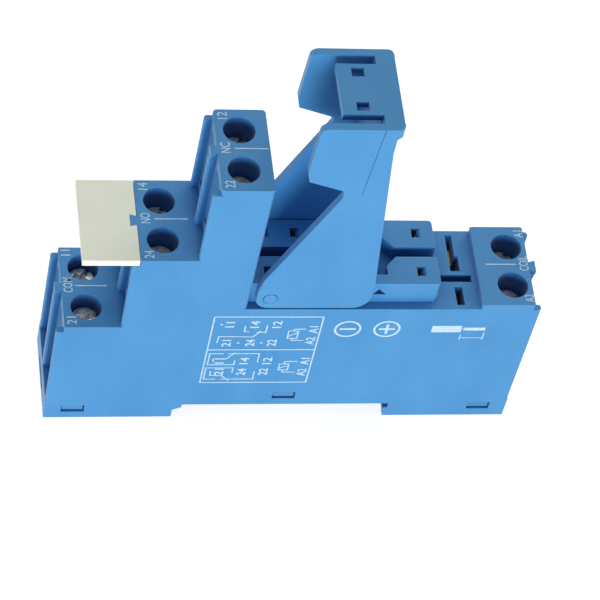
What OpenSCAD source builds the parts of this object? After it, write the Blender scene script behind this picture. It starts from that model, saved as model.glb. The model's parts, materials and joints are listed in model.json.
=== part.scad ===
// Screw-terminal relay socket for 35 mm rail, with box clamps, a relay
// retaining clip, an identification tag and a sprung rail latch.
// X runs along the socket, Y across it, Z up. The feet stand on Z = 0 and
// the origin is the centre of the base.

/* [Housing outline] */
// Length of the lip past the contact-side terminal blocks
end_lip = 1.2; // [1:0.1:2]
// Distance from one terminal block to the next
block_pitch = 10.25; // [9.8:0.1:14]
// Length of the tallest terminal block, beside the relay
tower_length = 8.25; // [8.1:0.1:12]
// Length of the raised seat that the relay stands on
seat_length = 31.15; // [30:0.1:40]
// Length of the bay for a plug-in module
module_length = 7.4; // [6.8:0.1:12]
// Length of the coil terminal block
coil_length = 8.9; // [8.6:0.1:12]
// Length of the lip past the coil terminal block
coil_lip = 1.2; // [1:0.1:2]
// Width of the socket
body_width = 15.8; // [15.4:0.1:20]
// Height of the lowest contact block
low_top = 26.1; // [25:0.1:32]
// Rise from one contact block to the next
tier_rise = 18; // [16:0.1:24]
// Height of the coil block
coil_top = 32.3; // [31.6:0.1:40]
// Height of the ledge beside the relay seat and of the module bay
ledge_z = 31.1; // [29:0.1:36]
// Rise of the relay seat above the ledge
seat_rise = 4.9; // [4:0.1:7]
// Thickness of the side walls
side_wall = 1; // [0.8:0.05:1.3]
// Radius of the rounded upright corners
corner_r = 0.6; // [0.2:0.1:1]

/* [Relay pins] */
// Distance between the two rows of relay pins
row_pitch = 7.7; // [7.5:0.1:8]
// Distance between neighbouring contact pins
pin_pitch = 5; // [4.6:0.1:5.4]
// Distance from the nearest contact pin to the coil pin
coil_pin_gap = 15; // [13:0.1:17]
// Distance from the tower to the first pin
first_pin = 3; // [2.6:0.1:3.6]
// Length of a pin slot along the socket
pin_slot_length = 1.05; // [0.8:0.05:1.4]
// Width of a pin slot across the socket
pin_slot_width = 1.8; // [1.4:0.05:2.4]

/* [Terminals] */
// Diameter of the screwdriver holes
driver_hole = 5.1; // [4.95:0.05:5.4]
// Distance from the edge of a contact block to its screw
screw_inset = 3.75; // [3.6:0.1:4.4]
// Distance from the edge of the coil block to its screw
coil_screw_inset = 3.3; // [3.2:0.1:4]
// Depth of a screw head below the top of its block
head_depth = 4.3; // [3.5:0.1:5]
// Depth of the screw heads of the lowest block
low_head_depth = 3; // [2.5:0.1:4]
// Diameter of a screw head
head_d = 4.7; // [4.2:0.05:4.8]
// Height of a screw head
head_h = 1.8; // [1.4:0.1:2.2]
// Thread diameter of the screws
screw_d = 3; // [2.5:0.1:3.2]
// Length of a clamp along the socket
clamp_length = 4.8; // [4.4:0.1:5]
// Width of a clamp across the socket
clamp_width = 5.8; // [5.2:0.1:5.9]
// Height of a clamp
clamp_height = 7; // [6.6:0.1:7.4]
// Thickness of a clamp's threaded top
clamp_top_t = 1.4; // [1.2:0.1:1.6]
// Thickness of a clamp's other walls
clamp_wall = 1; // [0.8:0.05:1.1]
// Travel of a clamp
clamp_travel = 2.6; // [2:0.1:2.8]
// Width of a wire entry
entry_width = 3.8; // [3.2:0.1:3.9]
// Height of a wire entry
entry_height = 4.4; // [4:0.1:4.6]

/* [Contacts] */
// Thickness of a contact strip
strip_t = 0.8; // [0.6:0.05:0.9]
// Width of a contact strip
strip_width = 3; // [2.6:0.1:3.4]
// Thickness of a spring leaf
leaf_t = 0.4; // [0.3:0.05:0.5]

/* [Rail fixing] */
// Width of the rail
rail_width = 35; // [34.6:0.1:36]
// Thickness of the rail's flange
rail_flange = 1; // [0.8:0.05:1.2]
// Height of the rail recess
recess_z = 3.6; // [3.5:0.05:4]
// Distance from the coil end to the hook's undercut
hook_inset = 21.3; // [19:0.1:23]
// Depth of the undercut behind the hook
hook_depth = 0.8; // [0.5:0.1:1]
// Width of the sliding latch
latch_width = 6; // [4:0.1:7]
// Travel of the sliding latch
latch_travel = 2; // [1.5:0.1:2.2]
// Thickness of the base cover
cover_t = 1; // [0.9:0.05:1.1]

/* [Retaining clip] */
// Distance from the tower to the clip's pivot
pivot_inset = 3.4; // [3.2:0.1:4]
// Height of the pivot above the ledge
pivot_rise = 2.65; // [2.5:0.05:3]
// Diameter of the pivot pins
pivot_d = 2.1; // [1.8:0.1:2.4]
// Thickness of the clip's arms
arm_t = 1.25; // [1:0.05:1.3]
// Height of the clip above the ledge
clip_height = 46; // [44:0.1:52]
// Length of the clip's foot ahead of its pivot
foot_length = 16.3; // [15:0.1:18]
// Height of a relay
relay_height = 25; // [24:0.1:26]

/* [Identification tag] */
// Length of the tag
tag_length = 9; // [7:0.1:10]
// Thickness of the tag
tag_t = 1.35; // [1:0.05:1.6]

/* [Hidden] */
$fn = 48;

moulding = "#5aa2da";
ivory = "#e6e4d2";
zinc = "#8f9496";
brass = "#c3a86a";
spring_steel = "#b9bec2";

eps = 0.01;
edge_r = 0.1;      // rounding of the lower blocks' upright edges
fit = 0.15;        // play of a metal piece in its pocket
snug = 0.1;        // play of a moulded piece in the housing
run = 0.05;        // radial play of a shaft in its hole

// Places along the socket
total = end_lip + 2 * block_pitch + tower_length + seat_length
      + module_length + coil_length + coil_lip;
x_left = -total / 2;
x_right = total / 2;
low_x = x_left + end_lip;
mid_x = low_x + block_pitch;
high_x = mid_x + block_pitch;
bay_x = high_x + tower_length;
seat_end = bay_x + seat_length;
coil_x = seat_end + module_length;
coil_end = coil_x + coil_length;

// Heights
mid_top = low_top + tier_rise;
high_top = mid_top + tier_rise;
seat_z = ledge_z + seat_rise;
half = body_width / 2;
inner = half - side_wall;
row = row_pitch / 2;

// Terminals: screw position, height of the block, depth of the head,
// direction from the wire entry towards the relay
low_t = [low_x + screw_inset, low_top, low_head_depth, 1];
mid_t = [mid_x + screw_inset, mid_top, head_depth, 1];
high_t = [high_x + screw_inset, high_top, head_depth, 1];
coil_t = [coil_end - coil_screw_inset, coil_top, head_depth, -1];
back = 1;
front = -1;

seat_r = 0.6;
head_web = 1;
function screw_x(t) = t[0];
function head_z(t) = t[1] - t[2];
function seat_of(t) = head_z(t) - head_h;
function pocket_top(t) = seat_of(t) - head_web;
pocket_h = clamp_height + clamp_travel + 0.4;
function pocket_z(t) = pocket_top(t) - pocket_h;
function clamp_z(t) = pocket_z(t) + 0.2;
// The tail of the contact strip lies under the clamp's threaded top
function tail_z(t) = clamp_z(t) + clamp_height - clamp_top_t - 0.2 - strip_t;
function entry_z(t) = (clamp_z(t) + clamp_wall + tail_z(t)) / 2 + 0.1;
pocket_half = clamp_length / 2 + fit;

// Relay pins and the height at which each contact strip runs to its pin
pin_1 = bay_x + first_pin;
pin_2 = pin_1 + pin_pitch;
pin_3 = pin_2 + pin_pitch;
pin_coil = pin_3 + coil_pin_gap;
low_run = 8;
run_rise = 7;
mid_run = low_run + run_rise;
high_run = mid_run + run_rise;
coil_run = 11;
socket_top = seat_z - 1.2;
leaf_gap = 0.7;
socket_half = leaf_gap / 2 + leaf_t;

// Rail recess: the rail lies from rail_x0 to rail_x1
recess_x1 = x_right - hook_inset;
rail_play = 0.1;
rail_x1 = recess_x1 + hook_depth - rail_play;
rail_x0 = rail_x1 - rail_width;
recess_x0 = rail_x0 - 1.6;
flange_z = recess_z - rail_flange;
hook_z0 = flange_z - 0.35;
hook_z1 = flange_z - 0.15;
hook_lead = 0.4;
latch_side_z0 = flange_z - 0.6;
latch_side_z1 = flange_z + 0.2;
bottom_gap = 5.4;
cavity_x0 = low_x + 1;
cavity_x1 = coil_end - 1;
foot_lip_z = 4.8;

// Clip
pivot_x = bay_x + pivot_inset;
pivot_z = ledge_z + pivot_rise;
arm_out = half - 0.05;
arm_in = arm_out - arm_t;
seat_half = arm_in - 0.25;
clip_top = ledge_z + clip_height;
plate_t = 1.3;

// Dovetail that holds the tag
dove_root = 0.75;
dove_tip = 1.1;
dove_l = 1.1;
lip_drop = tag_t + 0.05;
rib_w = 1.1;
rib_r = 0.45;
rib_root = 0.8;
dove_h = 3.5;
dove_slope = 2.45;

function arc(c, r, a0, a1, n = 8) =
    [for (i = [0:n]) c + r * [cos(a0 + (a1 - a0) * i / n), sin(a0 + (a1 - a0) * i / n)]];

// Extrudes a side-view outline (X, Z) across the socket from y0 to y1
module across(y0, y1) {
    translate([0, y1, 0])
        rotate([90, 0, 0])
            linear_extrude(height = y1 - y0)
                children();
}

module block(x0, x1, y0, y1, z0, z1) {
    translate([x0, y0, z0])
        cube([x1 - x0, y1 - y0, z1 - z0]);
}

// Upright prism of the full width with rounded corners in plan
module rounded_block(x0, x1, z0, z1, r) {
    translate([0, 0, z0])
        linear_extrude(height = z1 - z0) {
            translate([x0 + r, -half])
                square([x1 - x0 - 2 * r, body_width]);
            translate([x0, -half + r])
                square([x1 - x0, body_width - 2 * r]);
            for (x = [x0 + r, x1 - r], y = [-half + r, half - r])
                translate([x, y])
                    circle(r);
        }
}

// ---------------------------------------------------------------- housing

// Upright rib that stands out from a block's end face, rounded outside
module corner_rib(x, lip, y0, y1, z0, z1, dir) {
    edge = x - dir * lip;
    root = x + dir * rib_root;
    flat = edge + dir * rib_r;
    translate([0, 0, z0])
        linear_extrude(height = z1 - z0) {
            translate([min(root, flat), y0])
                square([abs(root - flat), y1 - y0]);
            translate([min(root, edge), y0 + rib_r])
                square([abs(root - edge), y1 - y0 - 2 * rib_r]);
            for (y = [y0 + rib_r, y1 - rib_r])
                translate([flat, y])
                    circle(rib_r);
        }
}

// Ribs on the wire side of a block: two at the corners, and one between
// the wire entries with the dovetail that a tag slides onto
module end_ribs(x, lip, z0, top, dir) {
    rib_top = top - lip_drop;
    corner_rib(x, lip, half - rib_w, half, z0, rib_top, dir);
    corner_rib(x, lip, -half, -half + rib_w, z0, rib_top, dir);
    corner_rib(x, lip, -dove_root, dove_root, z0, rib_top, dir);
    difference() {
        translate([x, 0, top - dove_h])
            linear_extrude(height = dove_h)
                polygon([
                    [dir * rib_root, -dove_root], [0, -dove_root], [-dir * dove_l, -dove_tip],
                    [-dir * dove_l, dove_tip], [0, dove_root], [dir * rib_root, dove_root]
                ]);
        across(-half, half)
            polygon([
                [x, top - dove_h - eps], [x - dir * (dove_l + 1), top - dove_h - eps],
                [x - dir * (dove_l + 1), top - dove_h + dove_slope]
            ]);
    }
}

// Raised seat: far corners rounded, a low flange at its far end
module relay_seat() {
    flange = 0.3;
    translate([0, 0, ledge_z - 1])
        linear_extrude(height = seat_rise + 1) {
            translate([bay_x - 1, -seat_half])
                square([seat_end - seat_r - bay_x + 1, 2 * seat_half]);
            translate([bay_x - 1, -seat_half + seat_r])
                square([seat_end - bay_x + 1, 2 * (seat_half - seat_r)]);
            for (y = [-seat_half + seat_r, seat_half - seat_r])
                translate([seat_end - seat_r, y])
                    circle(seat_r);
        }
    block(seat_end - 1, seat_end + flange, -seat_half + seat_r, seat_half - seat_r,
          ledge_z - 1, ledge_z + seat_rise / 3);
}

module outline() {
    rounded_block(low_x, high_x, 0, low_top, edge_r);
    rounded_block(mid_x, high_x + 1, 0, mid_top, edge_r);
    rounded_block(high_x, bay_x, 0, high_top, corner_r);
    block(bay_x - 1, coil_x + 1, -half, half, 0, ledge_z);
    relay_seat();
    rounded_block(coil_x, coil_end, 0, coil_top, corner_r / 2);
    end_ribs(low_x, end_lip, 0, low_top, 1);
    end_ribs(mid_x, end_lip, low_top - 1, mid_top, 1);
    end_ribs(high_x, end_lip, mid_top - 1, high_top, 1);
    end_ribs(coil_end, coil_lip, 0, coil_top, -1);
    // end walls of the two feet
    block(x_left, low_x + 1, -half, half, 0, foot_lip_z);
    block(coil_end - 1, x_right, -half, half, 0, foot_lip_z);
}

// Screw hole, clamp pocket and wire entry of one terminal
module terminal_cut(t, s) {
    x = screw_x(t);
    d = t[3];
    translate([x, s * row, seat_of(t)])
        cylinder(d = driver_hole, h = t[1] - seat_of(t) + 1);
    translate([x, s * row, pocket_top(t) - eps])
        cylinder(d = screw_d + 2 * run, h = head_web + 2 * eps);
    far = x + d * (pocket_half + strip_t + fit);
    near = x - d * pocket_half;
    block(min(near, far), max(near, far),
          s * row - clamp_width / 2 - fit, s * row + clamp_width / 2 + fit,
          pocket_z(t), pocket_top(t));
    // wire entry, with round ends above and below
    flat = entry_height - entry_width;
    entry_reach = 8;
    translate([near + d * eps, s * row, entry_z(t)])
        rotate([0, -90 * d, 0])
            linear_extrude(height = entry_reach) {
                square([flat, entry_width], center = true);
                for (u = [-flat / 2, flat / 2])
                    translate([u, 0])
                        circle(d = entry_width);
            }
}

// Hollow scoop in the end wall that leads a wire down into its entry
module scoop(x, t, s, depth) {
    scoop_drop = 4.6;
    reach = 2;
    w = (inner - dove_root) / 2;
    r = (w * w + depth * depth) / (2 * depth);
    c = x - t[3] * (r - depth);
    z0 = pocket_z(t) + 1;
    z1 = t[1] - scoop_drop;
    y = s * (inner + dove_root) / 2;
    intersection() {
        union() {
            translate([c, y, z0])
                cylinder(r = r, h = z1 - z0);
            translate([c, y, z1])
                sphere(r = r);
        }
        block(x - reach, x + reach, s > 0 ? dove_root : -half + rib_w, s > 0 ? half - rib_w : -dove_root,
              z0, t[1] - 1);
    }
}

// Room for one contact strip, open towards the base
module strip_cut(t, s, pin_x, run_z) {
    x = screw_x(t);
    d = t[3];
    y0 = s * row - strip_width / 2 - fit;
    y1 = s * row + strip_width / 2 + fit;
    near = x + d * (pocket_half - fit);
    far = x + d * (pocket_half + strip_t + fit);
    block(min(near, far), max(near, far), y0, y1, 1, pocket_z(t) + 1);
    block(min(near, pin_x), max(near, pin_x), y0, y1, 1, run_z + strip_t + fit);
    block(pin_x - socket_half - fit, pin_x + socket_half + fit,
          y0, y1, 1, socket_top + fit);
}

// Slot that a relay pin passes through, with a lead-in on one side
module pin_slot(x, s) {
    lead = 0.45;
    block(x - pin_slot_length / 2, x + pin_slot_length / 2,
          s * row - pin_slot_width / 2, s * row + pin_slot_width / 2,
          socket_top, seat_z + 1);
    across(s * row - pin_slot_width / 2, s * row + pin_slot_width / 2)
        polygon([
            [x, seat_z + eps], [x, seat_z - lead],
            [x + pin_slot_length / 2, seat_z - lead],
            [x + pin_slot_length / 2 + lead, seat_z + eps]
        ]);
}

// Groove and pocket in the relay seat
module seat_cuts() {
    groove = 0.95;
    depth = 3;
    pocket_x0 = pin_3 + 3.2;
    pocket_x1 = pin_coil - 5.4;
    pocket_x2 = pin_coil - 3.7;
    wide = 4.5;
    narrow = 2.8;
    mark = 1.2;
    mark_x = pin_coil - 7.7;
    mark_z = seat_z - 2.9;
    block(bay_x + 0.6, seat_end + 1, -groove, groove, seat_z - depth, seat_z + 1);
    translate([0, 0, seat_z - depth])
        linear_extrude(height = depth + 1)
            polygon([
                [pocket_x0, -wide], [pocket_x1, -wide], [pocket_x1, -narrow],
                [pocket_x2, -groove], [pocket_x2, groove],
                [pocket_x1, narrow], [pocket_x1, wide], [pocket_x0, wide]
            ]);
    // direction mark on the side of the seat
    for (s = [back, front])
        across(s > 0 ? seat_half - mark : -seat_half - 1, s > 0 ? seat_half + 1 : -seat_half + mark)
            polygon([
                [mark_x, mark_z], [mark_x + 2.2, mark_z], [mark_x + 0.9, mark_z + 1.4]
            ]);
}

// Slots for a plug-in module
module module_cuts() {
    x = (seat_end + coil_x) / 2;
    z0 = ledge_z - 5;
    z1 = ledge_z + 1;
    edge = half - 0.9;
    long_y = 3.6 - row;
    short_y = -3.4;
    cross_y0 = -2.4;
    cross_y1 = -1;
    block(x - 0.4, x + 0.7, long_y, edge, z0, z1);
    block(x - 0.4, x + 1.2, long_y, long_y + 3, z0, z1);
    block(x - 2.3, x + 2.9, cross_y0, cross_y1, z0, z1);
    block(x - 0.2, x + 1.1, -edge, short_y, z0, z1);
}

window_w = 3.9;
window_h = 1.85;
window_in = 3.5;
window_z = 1.65;
mid_window_in = 18.3;
mid_window_z = 1.7;
end_window_in = 4.8;
end_window_z = 1.9;
// Snap windows: centre along the socket and lower edge
windows = [
    [low_x + window_in, window_z],
    [recess_x0 + mid_window_in, recess_z + mid_window_z],
    [x_right - end_window_in, end_window_z]
];

module windows_cut() {
    for (w = windows, s = [back, front])
        block(w[0] - window_w / 2, w[0] + window_w / 2,
              s > 0 ? inner - 1 : -half - 1, s > 0 ? half + 1 : -inner + 1,
              w[1], w[1] + window_h);
}

// Space under the mechanism that the base cover closes
module base_cavity() {
    block(cavity_x0, cavity_x1, -inner, inner, -1, bottom_gap);
    for (w = windows)
        block(w[0] - window_w / 2 - 0.4, w[0] + window_w / 2 + 0.4,
              -inner, inner, -1, w[1] + window_h + 0.6);
    // way out for the latch's pull
    block(x_left - 1, cavity_x0 + 1, -latch_width / 2 - snug, latch_width / 2 + snug,
          cover_t, latch_z1 + snug);
}

// Rail recess, cut right across with an undercut for the rail's flange
module recess() {
    across(-half - 1, half + 1)
        polygon([
            [recess_x0, -1], [recess_x0, latch_side_z0], [rail_x0 - rail_play, latch_side_z1],
            [rail_x0 - rail_play, recess_z], [rail_x1 + rail_play, recess_z],
            [rail_x1 + rail_play, hook_z1], [recess_x1, hook_z0],
            [recess_x1 + hook_lead, -1]
        ]);
}

module pivot_pins() {
    for (s = [back, front])
        translate([pivot_x, s * (seat_half - 0.5), pivot_z])
            rotate([-90 * s, 0, 0])
                cylinder(d = pivot_d, h = arm_out - seat_half + 0.4);
}

module housing() {
    color(moulding) {
        difference() {
            outline();
            for (t = [low_t, mid_t, high_t, coil_t], s = [back, front])
                terminal_cut(t, s);
            for (s = [back, front]) {
                scoop(low_x, low_t, s, 0.7);
                scoop(mid_x, mid_t, s, 0.7);
                scoop(high_x, high_t, s, 0.7);
                scoop(coil_end, coil_t, s, 0.3);
                strip_cut(low_t, s, pin_3, low_run);
                strip_cut(mid_t, s, pin_2, mid_run);
                strip_cut(high_t, s, pin_1, high_run);
                strip_cut(coil_t, s, pin_coil, coil_run);
                for (x = [pin_1, pin_2, pin_3, pin_coil])
                    pin_slot(x, s);
                tab_cut(s);
            }
            seat_cuts();
            module_cuts();
            windows_cut();
            base_cavity();
            recess();
        }
        pivot_pins();
    }
}

// ------------------------------------------------------------- base cover

cover_half = inner - snug;
latch_z0 = cover_t + 0.12;
latch_z1 = flange_z - 0.12;

module base_cover() {
    x0 = cavity_x0 + snug;
    x1 = cavity_x1 - snug;
    color(moulding) {
        difference() {
            across(-cover_half, cover_half)
                polygon([
                    [x0, 0], [recess_x0, 0], [recess_x0, latch_side_z0],
                    [rail_x0 - rail_play, latch_side_z1], [rail_x0 - rail_play, recess_z],
                    [rail_x1 + rail_play, recess_z], [rail_x1 + rail_play, hook_z1],
                    [recess_x1, hook_z0], [recess_x1 + hook_lead, 0], [x1, 0],
                    [x1, cover_t], [rail_x1 + rail_play + cover_t, cover_t],
                    [rail_x1 + rail_play + cover_t, recess_z + cover_t],
                    [recess_x0 - cover_t, recess_z + cover_t],
                    [recess_x0 - cover_t, cover_t], [x0, cover_t]
                ]);
            // way through for the latch's nose
            block(recess_x0 - cover_t - 1, rail_x0 + 1,
                  -latch_width / 2 - snug, latch_width / 2 + snug,
                  cover_t, latch_z1 + snug);
        }
        // snap lugs
        for (w = windows, s = [back, front]) {
            tab_in = cover_half - 1;
            low = w[1] > recess_z ? recess_z + cover_t - eps : cover_t - eps;
            block(w[0] - window_w / 2 + 0.2, w[0] + window_w / 2 - 0.2,
                  s > 0 ? tab_in : -cover_half, s > 0 ? cover_half : -tab_in,
                  low, w[1] + window_h - 0.2);
            translate([w[0] - window_w / 2 + 0.2, 0, 0])
                rotate([90, 0, 90])
                    linear_extrude(height = window_w - 0.4)
                        polygon([
                            [s * (cover_half - eps), w[1] + 0.2],
                            [s * (half - 0.35), w[1] + 0.2],
                            [s * (half - 0.35), w[1] + 0.7],
                            [s * (cover_half - eps), w[1] + window_h - 0.2]
                        ]);
        }
        // post that the latch spring bears on
        block(post_x, post_x + post_l, -post_half, post_half, cover_t - eps, latch_z1);
    }
}

// -------------------------------------------------------------- rail latch

spring_l = 5;
post_l = 1.2;
post_half = 1.2;
// Gap between the rail and the latch's nose when the latch is drawn back
nose_clear = 0.8;
post_inset = 8;
post_x = x_left + post_inset;
window_x0 = post_x - 0.3;
window_x1 = post_x + post_l + 0.05 + spring_l + 0.05;

module rail_latch() {
    nose = rail_x0 + latch_travel - nose_clear;
    tail = x_left + 0.1;
    bevel = 0.9;
    tip_t = 0.4;
    window_half = 1.5;
    pull_inset = 1.9;
    pull_x = tail + pull_inset;
    pull_l = 1.4;
    pull_half = 2;
    color(moulding)
        difference() {
            across(-latch_width / 2, latch_width / 2)
                polygon([
                    [tail, latch_z0], [nose - bevel, latch_z0], [nose, latch_z1 - tip_t],
                    [nose, latch_z1], [tail, latch_z1]
                ]);
            // window round the cover's post and the spring
            block(window_x0, window_x1, -window_half, window_half, 0, recess_z);
            // slot for the tip of a screwdriver
            block(pull_x, pull_x + pull_l, -pull_half, pull_half, 0, recess_z);
        }
}

module latch_spring() {
    bends = 6;
    w = 0.75;
    h = 0.35;
    x0 = post_x + post_l + 0.05;
    function bend(i) = [x0 + i * spring_l / bends, i % 2 == 0 ? -w : w];
    color(spring_steel)
        translate([0, 0, latch_z0 + 0.2])
            linear_extrude(height = latch_z1 - latch_z0 - 0.4)
                polygon(concat(
                    [for (i = [0:bends]) bend(i) - [0, h]],
                    [for (i = [bends:-1:0]) bend(i) + [0, h]]
                ));
}

// --------------------------------------------------------- retaining clip

// Side view of one arm with its wing
module arm_outline() {
    foot_z = ledge_z + 0.35;
    toe = pivot_x + foot_length;
    toe_r = 3;
    heel_r = pivot_z - foot_z;
    top_x = pivot_x + 13.1;
    toe_h = 6.6;
    notch_x = pivot_x + 7.2;
    notch_z = clip_top - 15;
    wing_x = pivot_x + 1.3;
    wing_z = clip_top - 10.6;
    nib = 1.3;
    difference() {
        polygon(concat(
            arc([pivot_x, pivot_z], heel_r, 180, 270),
            arc([toe - toe_r, foot_z + toe_r], toe_r, 270, 360),
            [
                [toe, foot_z + toe_h], [top_x, clip_top - 5.6], [top_x, clip_top - 2.4],
                [top_x + 0.3, clip_top - 2], [top_x + 0.9, clip_top - 2],
                [top_x + 1, clip_top]
            ],
            arc([wing_x + nib, clip_top - nib], nib, 90, 180),
            [
                [wing_x - 0.4, wing_z], [wing_x + 0.1, wing_z - 2.1],
                [notch_x, notch_z], [notch_x, notch_z - 1.8],
                [pivot_x - 1.7, pivot_z + 5], [pivot_x - heel_r + 0.05, pivot_z + 2]
            ]
        ));
        translate([pivot_x, pivot_z])
            circle(d = pivot_d + 2 * run);
    }
}

// Rounds one corner of the clip's top, seen from above
module plate_corner(x, s) {
    r = 0.9;
    translate([0, 0, clip_top - 2.2])
        linear_extrude(height = 3)
            difference() {
                translate([x - r, s > 0 ? arm_out - r : -arm_out])
                    square([r + 1, r + eps]);
                translate([x - r, s * (arm_out - r)])
                    circle(r);
                translate([x - r - 1, s > 0 ? arm_out - 2 * r : -arm_out + r])
                    square([1, r]);
            }
}

module retaining_clip() {
    x0 = pivot_x + 2.6;
    x1 = pivot_x + 14.1;
    web_x = pivot_x + 10.9;
    slot_w = 1.8;
    tongue_half = arm_in - slot_w + 0.1;
    web_z = seat_z + relay_height + 0.2;
    sink = 0.25;
    bore_d = pivot_d + 2 * run;
    line_t = 0.1;
    hole_x = pivot_x + 7;
    hole_l = 2;
    hole_w = 1.7;
    hole_edge = 1.6;
    hole_y = tongue_half - hole_edge;
    color(moulding)
        difference() {
            union() {
                across(arm_in, arm_out)
                    arm_outline();
                across(-arm_out, -arm_in)
                    arm_outline();
                // top plate
                block(pivot_x + 4.8, x1 - 0.05, -arm_in - eps, arm_in + eps,
                      clip_top - plate_t, clip_top);
                // thicker front edge of the plate
                block(x1 - 1.6, x1 - 0.05, -arm_in - eps, arm_in + eps,
                      clip_top - 2, clip_top);
                // inner wall whose foot holds the relay down
                block(web_x, web_x + 1, -arm_in - eps, arm_in + eps,
                      web_z, clip_top - plate_t + eps);
            }
            // slots that free the tongue
            for (s = [back, front])
                block(x0 - 5, web_x + 0.1,
                      s > 0 ? tongue_half : -arm_in, s > 0 ? arm_in : -tongue_half,
                      clip_top - plate_t - 1, clip_top + 1);
            for (s = [back, front]) {
                translate([pivot_x, s * (arm_out - sink), pivot_z])
                    rotate([-90 * s, 0, 0])
                        cylinder(d1 = bore_d, d2 = bore_d + 3 * sink, h = 1.5 * sink);
                across(s > 0 ? arm_out - line_t : -arm_out - 1, s > 0 ? arm_out + 1 : -arm_out + line_t)
                    polygon([
                        [web_x + 0.1, clip_top + 1], [web_x - 0.9, web_z],
                        [web_x - 0.9 + line_t, web_z], [web_x + 0.1 + line_t, clip_top + 1]
                    ]);
                plate_corner(x1 - 0.05, s);
            }
            // two windows in the tongue
            for (y = [-hole_y, hole_y])
                block(hole_x, hole_x + hole_l, y - hole_w / 2, y + hole_w / 2,
                      clip_top - plate_t - 1, clip_top + 1);
        }
}

// ------------------------------------------------------ identification tag

module identification_tag() {
    x1 = mid_x - 0.1;
    gap = 0.06;
    color(ivory)
        translate([0, 0, mid_top - tag_t])
            linear_extrude(height = tag_t)
                difference() {
                    translate([x1 - tag_length, -half + 0.05])
                        square([tag_length, body_width - 0.1]);
                    polygon([
                        [x1 + 0.2, -dove_root - gap], [mid_x - dove_l - gap, -dove_tip - gap],
                        [mid_x - dove_l - gap, dove_tip + gap], [x1 + 0.2, dove_root + gap]
                    ]);
                }
}

// -------------------------------------------------------------- terminals

module terminal_screw(t, s) {
    tip = tail_z(t) + strip_t + 0.2;
    chamfer = 0.3;
    turn = 35 + 20 * s;
    slot_w = 0.8;
    slot_depth = 0.9;
    cross_l = 2.8;
    cross_w = 1;
    cross_depth = 1.2;
    color(zinc)
        translate([screw_x(t), s * row, 0])
            difference() {
                union() {
                    translate([0, 0, tip])
                        cylinder(d = screw_d, h = seat_of(t) - tip + 0.5);
                    translate([0, 0, seat_of(t) + 0.02])
                        cylinder(d = head_d, h = head_h - chamfer - 0.02);
                    translate([0, 0, head_z(t) - chamfer])
                        cylinder(d1 = head_d, d2 = head_d - 2 * chamfer, h = chamfer);
                }
                rotate([0, 0, turn])
                    translate([-head_d, -slot_w / 2, head_z(t) - slot_depth])
                        cube([2 * head_d, slot_w, 1]);
                for (a = [0, 90])
                    rotate([0, 0, turn + a])
                        translate([-cross_l / 2, -cross_w / 2, head_z(t) - cross_depth])
                            cube([cross_l, cross_w, 2]);
            }
}

module clamp(t, s) {
    x = screw_x(t) - clamp_length / 2;
    y = s * row - clamp_width / 2;
    z = clamp_z(t);
    color(zinc)
        difference() {
            translate([x, y, z])
                cube([clamp_length, clamp_width, clamp_height]);
            translate([x - 1, y + clamp_wall, z + clamp_wall])
                cube([clamp_length + 2, clamp_width - 2 * clamp_wall,
                      clamp_height - clamp_wall - clamp_top_t]);
            translate([screw_x(t), s * row, z + clamp_height - clamp_top_t - 1])
                cylinder(d = screw_d + 2 * run, h = clamp_top_t + 2);
        }
}

// Contact strip: tail in the clamp, riser, run to the pin, two leaves and
// whatever side-view outline is given as a child
module contact(t, s, pin_x, run_z) {
    x = screw_x(t);
    d = t[3];
    riser = x + d * (pocket_half + strip_t / 2);
    tail_reach = 1.9;
    tail_end = x - d * tail_reach;
    tail_w = clamp_width - 2 * clamp_wall - 0.4;
    z0 = tail_z(t);
    r0 = riser - strip_t / 2;
    r1 = riser + strip_t / 2;
    near = d > 0 ? r0 : r1;
    across(s * row - tail_w / 2, s * row + tail_w / 2)
        translate([min(tail_end, near), z0])
            square([abs(near - tail_end), strip_t]);
    across(s * row - strip_width / 2, s * row + strip_width / 2) {
        translate([r0, run_z])
            square([strip_t, z0 + strip_t - run_z]);
        // root inside both the riser and the tail
        translate([near - strip_t / 2, z0])
            square([strip_t, strip_t]);
        translate([min(r0, pin_x - socket_half), run_z])
            square([max(r1, pin_x + socket_half) - min(r0, pin_x - socket_half), strip_t]);
        for (k = [-1, 1])
            polygon([
                [pin_x + k * socket_half, run_z], [pin_x + k * socket_half, socket_top - 1.2],
                [pin_x + k * (socket_half - 0.12), socket_top - 0.7],
                [pin_x + k * socket_half, socket_top],
                [pin_x + k * (socket_half - leaf_t), socket_top],
                [pin_x + k * (socket_half - leaf_t - 0.12), socket_top - 0.7],
                [pin_x + k * (socket_half - leaf_t), socket_top - 1.2],
                [pin_x + k * (socket_half - leaf_t), run_z]
            ]);
        children();
    }
}

tab_shift = 0.15;
tab_depth = 2;
tab_x = (seat_end + coil_x) / 2 + tab_shift;
tab_top = ledge_z - tab_depth;

// Room for the tab that a plug-in module touches
module tab_cut(s) {
    block(tab_x - strip_t / 2 - fit, tab_x + strip_t / 2 + fit,
          s * row - strip_width / 2 - fit, s * row + strip_width / 2 + fit,
          coil_run, tab_top + fit);
}

// Contact strip with the tab that a plug-in module touches
module coil_contact(s) {
    contact(coil_t, s, pin_coil, coil_run)
        translate([tab_x - strip_t / 2, coil_run])
            square([strip_t, tab_top - coil_run]);
}

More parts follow.
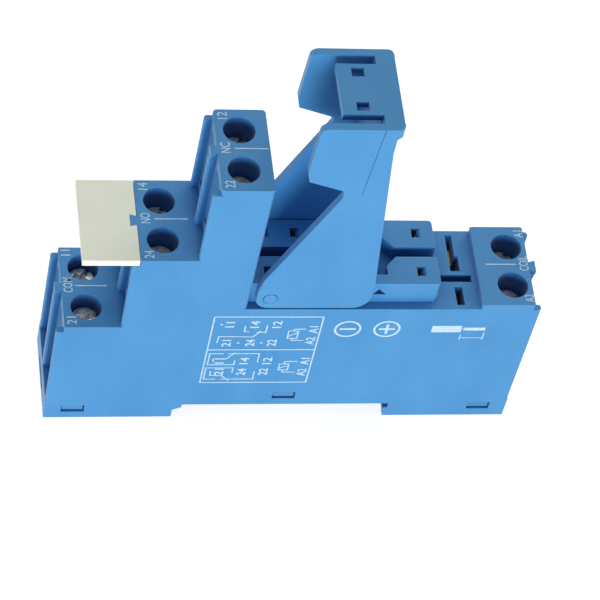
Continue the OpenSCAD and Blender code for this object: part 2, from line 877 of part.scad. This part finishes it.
housing();
base_cover();
retaining_clip();
identification_tag();
rail_latch();
latch_spring();
terminal_screw(low_t, back);  // screw_11
terminal_screw(low_t, front);  // screw_21
terminal_screw(mid_t, back);  // screw_14
terminal_screw(mid_t, front);  // screw_24
terminal_screw(high_t, back);  // screw_12
terminal_screw(high_t, front);  // screw_22
terminal_screw(coil_t, back);  // screw_a1
terminal_screw(coil_t, front);  // screw_a2
clamp(low_t, back);  // clamp_11
clamp(low_t, front);  // clamp_21
clamp(mid_t, back);  // clamp_14
clamp(mid_t, front);  // clamp_24
clamp(high_t, back);  // clamp_12
clamp(high_t, front);  // clamp_22
clamp(coil_t, back);  // clamp_a1
clamp(coil_t, front);  // clamp_a2
color(brass) contact(low_t, back, pin_3, low_run);  // contact_11
color(brass) contact(low_t, front, pin_3, low_run);  // contact_21
color(brass) contact(mid_t, back, pin_2, mid_run);  // contact_14
color(brass) contact(mid_t, front, pin_2, mid_run);  // contact_24
color(brass) contact(high_t, back, pin_1, high_run);  // contact_12
color(brass) contact(high_t, front, pin_1, high_run);  // contact_22
color(brass) coil_contact(back);  // contact_a1
color(brass) coil_contact(front);  // contact_a2
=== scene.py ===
"""Looks of the relay socket: moulded, plated and printed surfaces, floor, light and camera.

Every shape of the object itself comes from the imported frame. This script adds the
white printing, a procedural material for each node, and the studio around them.
"""
import json
import math

import bmesh
import bpy
from mathutils import Matrix, Vector


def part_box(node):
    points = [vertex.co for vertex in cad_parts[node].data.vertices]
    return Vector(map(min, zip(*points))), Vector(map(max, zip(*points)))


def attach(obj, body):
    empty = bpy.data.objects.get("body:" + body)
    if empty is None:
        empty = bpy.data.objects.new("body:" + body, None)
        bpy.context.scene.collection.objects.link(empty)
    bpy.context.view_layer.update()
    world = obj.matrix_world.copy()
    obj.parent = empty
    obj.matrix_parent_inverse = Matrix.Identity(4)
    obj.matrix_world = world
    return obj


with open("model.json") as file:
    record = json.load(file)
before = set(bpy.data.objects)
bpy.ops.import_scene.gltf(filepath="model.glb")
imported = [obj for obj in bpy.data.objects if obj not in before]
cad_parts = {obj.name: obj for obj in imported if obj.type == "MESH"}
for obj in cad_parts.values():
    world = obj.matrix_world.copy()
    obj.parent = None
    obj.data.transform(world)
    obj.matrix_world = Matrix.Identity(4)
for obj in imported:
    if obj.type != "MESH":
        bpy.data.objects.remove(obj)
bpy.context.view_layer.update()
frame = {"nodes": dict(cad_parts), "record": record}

MM = 0.001


# ------------------------------------------------------------------ materials

BEVEL_SAMPLES = 6
OCCLUSION_SAMPLES = 8
BUMP_STRENGTH = 0.6

# Moulded plastic: how far its painted edge highlight and its rounding reach, how wide a gap still
# receives painted shade, and how strongly the painted highlight and the painted shade show
PAINTED_HIGHLIGHT_REACH = 0.3 * MM
PLASTIC_ROUNDING = 0.12 * MM
PAINTED_SHADE_GAP = 8 * MM
PAINTED_HIGHLIGHT_STRENGTH = 0.35
PAINTED_SHADE_STRENGTH = 0.9
METAL_ROUNDING = 0.08 * MM


def srgb(red, green, blue):
    """Linear colour of an 8-bit sRGB one."""
    def linear(value):
        value /= 255
        return value / 12.92 if value <= 0.04045 else ((value + 0.055) / 1.055) ** 2.4
    return (linear(red), linear(green), linear(blue), 1.0)


class Surface:
    """A Principled material whose nodes are added by short, named steps."""

    def __init__(self, name, metallic=0.0, specular=0.5):
        self.material = bpy.data.materials.new(name)
        self.material.use_nodes = True
        self.nodes = self.material.node_tree.nodes
        self.links = self.material.node_tree.links
        self.shader = self.nodes["Principled BSDF"]
        self.shader.inputs["Metallic"].default_value = metallic
        self.shader.inputs["Specular IOR Level"].default_value = specular
        self.place = self.nodes.new("ShaderNodeTexCoord").outputs["Object"]

    def noise(self, size, detail, stretch=(1, 1, 1)):
        """Noise whose features are about size metres across."""
        mapping = self.nodes.new("ShaderNodeMapping")
        mapping.inputs["Scale"].default_value = stretch
        self.links.new(self.place, mapping.inputs["Vector"])
        texture = self.nodes.new("ShaderNodeTexNoise")
        texture.inputs["Scale"].default_value = 1 / size
        texture.inputs["Detail"].default_value = detail
        self.links.new(mapping.outputs["Vector"], texture.inputs["Vector"])
        return texture.outputs["Fac"]

    def ramp(self, source, low, high, start=0.35, end=0.65):
        """Colour or grey level that follows source from low to high."""
        node = self.nodes.new("ShaderNodeValToRGB")
        node.color_ramp.elements[0].position = start
        node.color_ramp.elements[1].position = end
        node.color_ramp.elements[0].color = low
        node.color_ramp.elements[1].color = high
        self.links.new(source, node.inputs["Fac"])
        return node.outputs["Color"]

    def level(self, source, zero_at, one_at):
        """0 where source is zero_at, 1 where it is one_at."""
        node = self.nodes.new("ShaderNodeMapRange")
        node.inputs["From Min"].default_value = zero_at
        node.inputs["From Max"].default_value = one_at
        self.links.new(source, node.inputs["Value"])
        return node.outputs["Result"]

    def rounded(self, radius):
        """Normal of a surface whose edges are rounded by radius metres."""
        bevel = self.nodes.new("ShaderNodeBevel")
        bevel.samples = BEVEL_SAMPLES
        bevel.inputs["Radius"].default_value = radius
        return bevel.outputs["Normal"]

    def edges(self, reach):
        """1 along edges within reach metres, 0 on flat faces."""
        geometry = self.nodes.new("ShaderNodeNewGeometry")
        likeness = self.nodes.new("ShaderNodeVectorMath")
        likeness.operation = "DOT_PRODUCT"
        self.links.new(self.rounded(reach), likeness.inputs[0])
        self.links.new(geometry.outputs["True Normal"], likeness.inputs[1])
        return self.level(likeness.outputs["Value"], 1.0, 0.75)

    def depth(self, reach):
        """Mask of painted shade: 0 on open faces, 1 deep inside holes and between walls reach
        metres apart.
        """
        occlusion = self.nodes.new("ShaderNodeAmbientOcclusion")
        occlusion.samples = OCCLUSION_SAMPLES
        occlusion.only_local = True
        occlusion.inputs["Distance"].default_value = reach
        return self.level(occlusion.outputs["AO"], 0.85, 0.25)

    def blend(self, amount, first, second, strength):
        """Mix of two colours; amount 1 gives strength of the second."""
        scaled = self.nodes.new("ShaderNodeMath")
        scaled.operation = "MULTIPLY"
        scaled.inputs[1].default_value = strength
        self.links.new(amount, scaled.inputs[0])
        node = self.nodes.new("ShaderNodeMix")
        node.data_type = "RGBA"
        first_colour, second_colour = node.inputs[6], node.inputs[7]
        self.links.new(scaled.outputs[0], node.inputs["Factor"])
        self.links.new(first, first_colour)
        second_colour.default_value = second
        return node.outputs[2]

    def colour(self, source):
        self.links.new(source, self.shader.inputs["Base Color"])

    def rough(self, source, low, high):
        grey_low, grey_high = (low, low, low, 1), (high, high, high, 1)
        self.links.new(self.ramp(source, grey_low, grey_high), self.shader.inputs["Roughness"])

    def relief(self, layers, rounding):
        """Bump from (source, height in metres) layers over rounded edges."""
        normal = self.rounded(rounding)
        for source, height in layers:
            bump = self.nodes.new("ShaderNodeBump")
            bump.inputs["Strength"].default_value = BUMP_STRENGTH
            bump.inputs["Distance"].default_value = height
            self.links.new(source, bump.inputs["Height"])
            self.links.new(normal, bump.inputs["Normal"])
            normal = bump.outputs["Normal"]
        self.links.new(normal, self.shader.inputs["Normal"])


def moulded_plastic(name, dark, light, edge_highlight, hollow_shade, grain):
    """Fine-grained moulded plastic: faint flow shades, a painted highlight along edges, painted
    shade inside holes.

    grain is the height of the surface's fine grain in metres.
    """
    surface = Surface(name, specular=0.3)
    surface.shader.inputs["Sheen Weight"].default_value = 0.15
    surface.shader.inputs["Sheen Roughness"].default_value = 0.5
    flow = surface.noise(9 * MM, 2, (1, 1, 0.5))
    speckle = surface.noise(0.35 * MM, 4)
    tint = surface.ramp(flow, dark, light, 0.3, 0.7)
    # painted highlight: a paler colour along edges, where light catches them
    tint = surface.blend(surface.edges(PAINTED_HIGHLIGHT_REACH), tint, edge_highlight, PAINTED_HIGHLIGHT_STRENGTH)
    # painted shade: a deeper, darker colour inside holes and narrow gaps
    tint = surface.blend(surface.depth(PAINTED_SHADE_GAP), tint, hollow_shade, PAINTED_SHADE_STRENGTH)
    surface.colour(tint)
    surface.rough(speckle, 0.42, 0.58)
    surface.relief([(flow, 0.02 * MM), (speckle, grain)], PLASTIC_ROUNDING)
    return surface.material


def worked_metal(name, dark, light, rough_low, rough_high):
    """Plated or rolled metal: fine streaks and slightly uneven gloss."""
    surface = Surface(name, metallic=1.0)
    cloud = surface.noise(0.9 * MM, 4)
    streak = surface.noise(0.12 * MM, 2, (1, 6, 1))
    surface.colour(surface.ramp(cloud, dark, light))
    surface.rough(streak, rough_low, rough_high)
    surface.relief([(streak, 0.004 * MM)], METAL_ROUNDING)
    return surface.material


def printing_ink():
    """Thin white printing that lets a little of the blue through."""
    surface = Surface("white_printing", specular=0.3)
    patch = surface.noise(0.5 * MM, 4)
    surface.colour(surface.ramp(patch, srgb(176, 212, 234), srgb(210, 231, 243)))
    surface.rough(patch, 0.5, 0.7)
    return surface.material


INK = printing_ink()
FINISH = {
    # The fourth colour of each plastic is a painted highlight along edges; the fifth is painted
    # shade inside holes and gaps.
    "moulding": moulded_plastic(
        "blue_moulding", dark=srgb(63, 140, 199), light=srgb(73, 149, 207),
        edge_highlight=srgb(98, 172, 226), hollow_shade=srgb(18, 82, 152), grain=0.010 * MM),
    "tag_plastic": moulded_plastic(
        "ivory_tag", dark=srgb(246, 250, 227), light=srgb(250, 253, 234),
        edge_highlight=srgb(250, 251, 240), hollow_shade=srgb(214, 214, 190), grain=0.006 * MM),
    "plated_steel": worked_metal(
        "zinc_plating", srgb(196, 199, 198), srgb(232, 234, 232), 0.28, 0.42),
    "spring_steel": worked_metal(
        "spring_steel", srgb(150, 156, 160), srgb(185, 190, 194), 0.2, 0.35),
    "contact_brass": worked_metal(
        "contact_brass", srgb(112, 98, 66), srgb(140, 124, 88), 0.4, 0.6),
}


def finish_nodes():
    """Gives every carried-over node the material of its slot."""
    slots = {part["node"]: part["material_slot"] for part in frame["record"]["subparts"]}
    for name, node in frame["nodes"].items():
        node.data.materials.clear()
        node.data.materials.append(FINISH[slots[name]])


# ------------------------------------------------------------------- printing

INK_THICKNESS = 0.02 * MM
STROKE_STEP = 0.0003 * MM
RING_STEPS = 40
LETTER_STEPS = 3


class Print:
    """Collects flat strokes and lettering on one plane, then becomes one piece.

    across and up are the plane's axes and origin is a point on it. Places (u, v) along
    those axes, widths and lengths are in mm.
    """

    def __init__(self, name, origin, across, up):
        self.name = name
        self.mesh = bmesh.new()
        self.origin = Vector(origin)
        self.across, self.up = Vector(across), Vector(up)
        self.normal = self.across.cross(self.up)
        self.strokes = 0

    def point(self, u, v, lift):
        return self.origin + self.across * u * MM + self.up * v * MM + self.normal * lift

    def plate(self, outline):
        """Thin raised plate with the given (u, v) outline.

        Each stroke stands a little above the last, so crossing strokes don't share a face.
        """
        self.strokes += 1
        top = INK_THICKNESS + STROKE_STEP * self.strokes
        low = [self.mesh.verts.new(self.point(u, v, 0)) for u, v in outline]
        high = [self.mesh.verts.new(self.point(u, v, top)) for u, v in outline]
        self.mesh.faces.new(high)
        self.mesh.faces.new(low[::-1])
        for i in range(len(outline)):
            j = (i + 1) % len(outline)
            self.mesh.faces.new((low[i], low[j], high[j], high[i]))

    def line(self, start, end, width):
        """Straight stroke whose square ends reach half its width past both points."""
        a, b = Vector(start), Vector(end)
        along = (b - a).normalized() * width / 2
        side = Vector((-along.y, along.x))
        a, b = a - along, b + along
        self.plate([(a - side)[:], (b - side)[:], (b + side)[:], (a + side)[:]])

    def path(self, points, width):
        for start, end in zip(points, points[1:]):
            self.line(start, end, width)

    def rectangle(self, left, right, bottom, top, width):
        corners = [(left, bottom), (right, bottom), (right, top), (left, top)]
        self.path(corners + corners[:1], width)

    def ring(self, centre, radius, width):
        """Circle drawn as short plates; radius is that of its inner edge."""
        outer = radius + width
        for i in range(RING_STEPS):
            corners = []
            for step, r in ((i, radius), (i + 1, radius), (i + 1, outer), (i, outer)):
                angle = math.tau * step / RING_STEPS
                corners.append((centre[0] + r * math.cos(angle), centre[1] + r * math.sin(angle)))
            self.plate(corners[::-1])

    def text(self, words, centre, height, length, bold):
        """Lettering centred on a point, running up the plane.

        height is that of a capital and length the words' own.
        """
        curve = bpy.data.curves.new(self.name + "_letters", "FONT")
        curve.body = words
        curve.offset = bold
        curve.resolution_u = LETTER_STEPS
        holder = bpy.data.objects.new(self.name + "_letters", curve)
        bpy.context.scene.collection.objects.link(holder)
        flat = holder.evaluated_get(bpy.context.evaluated_depsgraph_get()).to_mesh()
        letters = bmesh.new()
        letters.from_mesh(flat)
        xs = [v.co.x for v in letters.verts]
        ys = [v.co.y for v in letters.verts]
        wide, tall = length / (max(xs) - min(xs)), height / (max(ys) - min(ys))
        mid_x, mid_y = (max(xs) + min(xs)) / 2, (max(ys) + min(ys)) / 2
        faces = bmesh.ops.extrude_face_region(letters, geom=letters.faces[:])
        raised = {v for v in faces["geom"] if isinstance(v, bmesh.types.BMVert)}
        copies = {}
        for vert in letters.verts:
            u = centre[0] - (vert.co.y - mid_y) * tall
            v = centre[1] + (vert.co.x - mid_x) * wide
            lift = INK_THICKNESS if vert in raised else 0
            copies[vert] = self.mesh.verts.new(self.point(u, v, lift))
        for face in letters.faces:
            self.mesh.faces.new([copies[v] for v in face.verts])
        letters.free()
        bpy.data.objects.remove(holder)
        bpy.data.curves.remove(curve)

    def finish(self, body):
        """Turns the strokes into one piece that moves with body."""
        bmesh.ops.recalc_face_normals(self.mesh, faces=self.mesh.faces[:])
        data = bpy.data.meshes.new(self.name)
        self.mesh.to_mesh(data)
        self.mesh.free()
        data.materials.append(INK)
        piece = bpy.data.objects.new(self.name, data)
        bpy.context.scene.collection.objects.link(piece)
        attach(piece, body)


# Terminal blocks, in mm. Each has one of its screws, the height of its top, the two ends of
# the line between its screws, and its words with their places and lengths. Along the socket,
# places are given from that screw's middle; across it, from the socket's middle.
BLOCKS = {
    "common": ("screw_11", 26.1, (-1.42, 3.53), (
        ("21", (-2.5, -6.5), 1.45), ("COM", (-2.68, 0.4), 2.9), ("11", (-2.65, 6.85), 1.2))),
    "open": ("screw_14", 44.1, (-0.9, 4.1), (
        ("24", (-2.4, -6.6), 1.45), ("NO", (-2.45, 0.43), 2.0), ("14", (-2.4, 6.7), 1.4))),
    "closed": ("screw_12", 62.1, (-0.9, 4.1), (
        ("22", (-2.4, -6.6), 1.45), ("NC", (-2.45, 0.43), 2.0), ("12", (-2.4, 6.7), 1.4))),
    "coil": ("screw_a1", 32.3, (-3.85, 1.04), (
        ("A2", (2.44, -6.5), 1.5), ("COIL", (2.44, 0.5), 2.95), ("A1", (2.44, 6.45), 1.4))),
}
BLOCK_CAPITAL = 1.55
BLOCK_BOLD = 0.008
BLOCK_LINE_Y = 0.3
LINE_WIDTH = 0.22


def terminal_print():
    """Numbers beside the screws and the line between each pair."""
    for name, (screw, top, (line_start, line_end), words) in BLOCKS.items():
        low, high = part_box(screw)
        x = (low[0] + high[0]) / 2
        marks = Print(f"{name}_block_print", (x, 0, top * MM), (1, 0, 0), (0, 1, 0))
        for word, place, length in words:
            marks.text(word, place, BLOCK_CAPITAL, length, BLOCK_BOLD)
        marks.line((line_start, BLOCK_LINE_Y), (line_end, BLOCK_LINE_Y), LINE_WIDTH)
        marks.finish("socket")


def front_print(name):
    """Empty print on the housing's front, with places (along the socket, height)."""
    low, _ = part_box("housing")
    return Print(name, (0, low[1], 0), (1, 0, 0), (0, 0, 1))


DIAGRAM_CAPITAL = 1.5
DIAGRAM_BOLD = 0.015
DIAGRAM_LINE = 0.2
DIAGRAM_LENGTHS = {"11": 1.5, "A1": 2.0, "A2": 2.1}
DIAGRAM_LENGTH = 1.9
DIAGRAM_WORDS = (
    ("11", (-11.5, 26.85)), ("14", (-7.4, 26.9)), ("12", (-3.8, 26.9)), ("A1", (2.4, 25.4)),
    ("21", (-11.4, 21.6)), ("24", (-7.5, 21.7)), ("22", (-3.95, 21.7)), ("A2", (2.3, 22.2)),
    ("11", (-11.8, 16.5)), ("14", (-7.7, 16.5)), ("12", (-3.9, 16.5)), ("A1", (2.4, 16.3)),
    ("21", (-11.5, 13.3)), ("24", (-7.8, 13.3)), ("22", (-4.15, 13.3)), ("A2", (2.3, 13.1)),
)
DIAGRAM_CONTACTS = (
    # upper field: the two contacts side by side
    [(-8.9, 26.4), (-8.9, 24.9), (-8.2, 24.8)],
    [(-12.95, 21.8), (-12.9, 23.5), (-7.3, 23.4), (-6.27, 24.95)],
    [(-6.7, 24.7), (-5.35, 24.7), (-5.35, 26.6)],
    # lower field: one contact drawn above the other
    [(-11.5, 18.6), (-13.7, 18.6), (-13.7, 15.4), (-9.3, 15.4), (-9.3, 16.5)],
    [(-12.9, 16.3), (-12.9, 17.1), (-10.8, 17.1), (-9.55, 18.85)],
    [(-10.6, 18.6), (-5.5, 18.6), (-5.5, 16.2)],
    [(-11.9, 11.2), (-13.8, 11.2), (-13.8, 14.5), (-9.3, 14.5), (-9.3, 13.2)],
    [(-12.9, 13.4), (-12.9, 12.3), (-10.97, 12.2), (-9.7, 10.9)],
    [(-10.9, 11.2), (-5.6, 11.2), (-5.6, 13.4)],
)
DIAGRAM_DOTS = ((-12.9, 26.85), (-9.5, 21.7), (-5.7, 21.7))
DOT_LENGTH, DOT_WIDTH = 0.1, 0.3
# Coils: left, right, lower and upper edge, and the heights at which the two leads end
DIAGRAM_COILS = (
    (-1.6, 0, 23.0, 25.1, 22.4, 25.6),
    (-1.7, -0.15, 13.85, 15.6, 13.2, 16.3),
)
COIL_SLASH_INSET = 0.5
LEAD_END = 1.05


def diagram_print():
    """Wiring diagrams of two changeover contacts and a coil, in two fields."""
    marks = front_print("wiring_diagram_print")
    left, right, bottom, middle, top = -14.27, 3.52, 10.2, 19.7, 29.0
    marks.rectangle(left, right, bottom, top, LINE_WIDTH)
    marks.line((left, middle), (right, middle), LINE_WIDTH)
    for word, place in DIAGRAM_WORDS:
        length = DIAGRAM_LENGTHS.get(word, DIAGRAM_LENGTH)
        marks.text(word, place, DIAGRAM_CAPITAL, length, DIAGRAM_BOLD)
    for contact in DIAGRAM_CONTACTS:
        marks.path(contact, DIAGRAM_LINE)
    for u, v in DIAGRAM_DOTS:
        marks.line((u, v), (u + DOT_LENGTH, v), DOT_WIDTH)
    for left, right, bottom, top, lower_lead, upper_lead in DIAGRAM_COILS:
        mid = (left + right) / 2
        marks.rectangle(left, right, bottom, top, DIAGRAM_LINE)
        slash = (left, bottom + COIL_SLASH_INSET), (right, top - COIL_SLASH_INSET)
        marks.line(*slash, DIAGRAM_LINE)
        marks.path([(mid, top), (mid, upper_lead), (LEAD_END, upper_lead)], DIAGRAM_LINE)
        marks.path([(mid, bottom), (mid, lower_lead), (LEAD_END, lower_lead)], DIAGRAM_LINE)
    marks.finish("socket")


SYMBOL_Z = 25.6
RING_RADIUS, RING_WIDTH = 1.9, 0.35
BAR_HALF, BAR_WIDTH = 1.1, 0.45
MEASURE_LINE = 0.16


def symbol_print():
    """Slotted and crossed screw recess, and a wire end with its stripped length marked."""
    marks = front_print("terminal_symbol_print")
    for x, crossed in ((8.0, False), (14.5, True)):
        marks.ring((x, SYMBOL_Z), RING_RADIUS, RING_WIDTH)
        marks.line((x - BAR_HALF, SYMBOL_Z), (x + BAR_HALF, SYMBOL_Z), BAR_WIDTH)
        if crossed:
            marks.line((x, SYMBOL_Z - BAR_HALF), (x, SYMBOL_Z + BAR_HALF), BAR_WIDTH)
    insulation = [(22.0, 24.7), (27.0, 24.7), (27.0, 26.5), (22.0, 26.5)]
    bare_wire = [(27.3, 25.2), (31.0, 25.2), (31.0, 26.0), (27.3, 26.0)]
    marks.plate(insulation)
    marks.plate(bare_wire)
    marks.line((27.15, 22.6), (27.15, 23.9), MEASURE_LINE)
    marks.line((31.0, 22.6), (31.0, 24.5), MEASURE_LINE)
    marks.line((27.4, 23.1), (30.8, 23.1), MEASURE_LINE)
    marks.finish("socket")


# --------------------------------------------------------------------- studio

AIM = (0, 0, 0.03)

FLOOR_HALF = 3.0
FLOOR_Z = -0.05 * MM
FLOOR_GREY = 0.7
FLOOR_GLOW = 0.72
WORLD_LEVEL = 0.30
WORLD_LEVEL_SEEN = 1.0

# Round soft lamps: place and diameter in metres, power in watts
SOFTBOXES = {
    "front_softbox": ((-0.08, -0.93, 0.17), 0.5, 7.6),
    "rear_softbox": ((-0.15, 0.5, 0.75), 0.6, 1.4),
    "back_softbox": ((0.60, 0.72, 0.20), 0.5, 5.0),
    "side_softbox": ((-0.70, -0.10, 0.12), 0.4, 0.9),
}

# Camera: where it stands round the aim, in degrees and metres, how far it is moved
# sideways and upwards in its own picture, and its lens and sensor in mm
CAMERA_AZIMUTH, CAMERA_ELEVATION, CAMERA_ROLL = -18.53, 53.21, 15.08
CAMERA_DISTANCE = 0.48569
CAMERA_RIGHT, CAMERA_UP = 0.0003, -0.0043
CAMERA_LENS, CAMERA_SENSOR = 180, 36


def seen_directly(nodes, links):
    """1 for rays of the camera and of glossy reflections, 0 for all others."""
    path = nodes.new("ShaderNodeLightPath")
    either = nodes.new("ShaderNodeMath")
    either.operation = "MAXIMUM"
    links.new(path.outputs["Is Camera Ray"], either.inputs[0])
    links.new(path.outputs["Is Glossy Ray"], either.inputs[1])
    return either.outputs[0]


def white_floor():
    """Floor that looks white and keeps the object's soft shadow."""
    half = FLOOR_HALF
    corners = [(-half, -half, 0), (half, -half, 0), (half, half, 0), (-half, half, 0)]
    mesh = bpy.data.meshes.new("floor")
    mesh.from_pydata(corners, [], [(0, 1, 2, 3)])
    floor = bpy.data.objects.new("floor", mesh)
    floor.location.z = FLOOR_Z
    bpy.context.scene.collection.objects.link(floor)
    material = bpy.data.materials.new("white_floor")
    material.use_nodes = True
    nodes, links = material.node_tree.nodes, material.node_tree.links
    shader = nodes["Principled BSDF"]
    shader.inputs["Base Color"].default_value = (FLOOR_GREY, FLOOR_GREY, FLOOR_GREY, 1)
    shader.inputs["Roughness"].default_value = 0.9
    glow = nodes.new("ShaderNodeMath")
    glow.operation = "MULTIPLY"
    glow.inputs[1].default_value = FLOOR_GLOW
    links.new(seen_directly(nodes, links), glow.inputs[0])
    shader.inputs["Emission Color"].default_value = (1, 1, 1, 1)
    links.new(glow.outputs[0], shader.inputs["Emission Strength"])
    mesh.materials.append(material)


def studio_world():
    """Even surround light, which looks white itself."""
    world = bpy.data.worlds.new("studio")
    bpy.context.scene.world = world
    world.use_nodes = True
    nodes, links = world.node_tree.nodes, world.node_tree.links
    background = nodes["Background"]
    background.inputs["Color"].default_value = (1, 1, 1, 1)
    level = nodes.new("ShaderNodeMapRange")
    level.inputs["To Min"].default_value = WORLD_LEVEL
    level.inputs["To Max"].default_value = WORLD_LEVEL_SEEN
    links.new(seen_directly(nodes, links), level.inputs["Value"])
    links.new(level.outputs["Result"], background.inputs["Strength"])


def softbox(name, place, diameter, power):
    """Round lamp that faces the aim."""
    light = bpy.data.lights.new(name, "AREA")
    light.shape = "DISK"
    light.size = diameter
    light.energy = power
    holder = bpy.data.objects.new(name, light)
    holder.location = place
    holder.rotation_euler = (Vector(AIM) - Vector(place)).to_track_quat("-Z", "Y").to_euler()
    bpy.context.scene.collection.objects.link(holder)


def camera():
    """Long lens above the front left, turned so that the socket runs up to the right."""
    azimuth = math.radians(CAMERA_AZIMUTH)
    elevation = math.radians(CAMERA_ELEVATION)
    roll = math.radians(CAMERA_ROLL)
    back = Vector((
        math.sin(azimuth) * math.cos(elevation),
        -math.cos(azimuth) * math.cos(elevation),
        math.sin(elevation),
    ))
    level = Vector((math.cos(azimuth), math.sin(azimuth), 0))
    upright = back.cross(level)
    right = level * math.cos(roll) + upright * math.sin(roll)
    up = upright * math.cos(roll) - level * math.sin(roll)
    centre = Vector(AIM) + back * CAMERA_DISTANCE + right * CAMERA_RIGHT + up * CAMERA_UP
    turn = Matrix((right, up, back)).transposed().to_4x4()
    data = bpy.data.cameras.new("camera")
    data.sensor_width = CAMERA_SENSOR
    data.lens = CAMERA_LENS
    data.clip_start = 0.01
    holder = bpy.data.objects.new("camera", data)
    holder.matrix_world = Matrix.Translation(centre) @ turn
    bpy.context.scene.collection.objects.link(holder)
    bpy.context.scene.camera = holder


camera()
finish_nodes()
terminal_print()
diagram_print()
symbol_print()
white_floor()
studio_world()
for name, (place, diameter, power) in SOFTBOXES.items():
    softbox(name, place, diameter, power)
bpy.context.scene.view_settings.view_transform = "Standard"
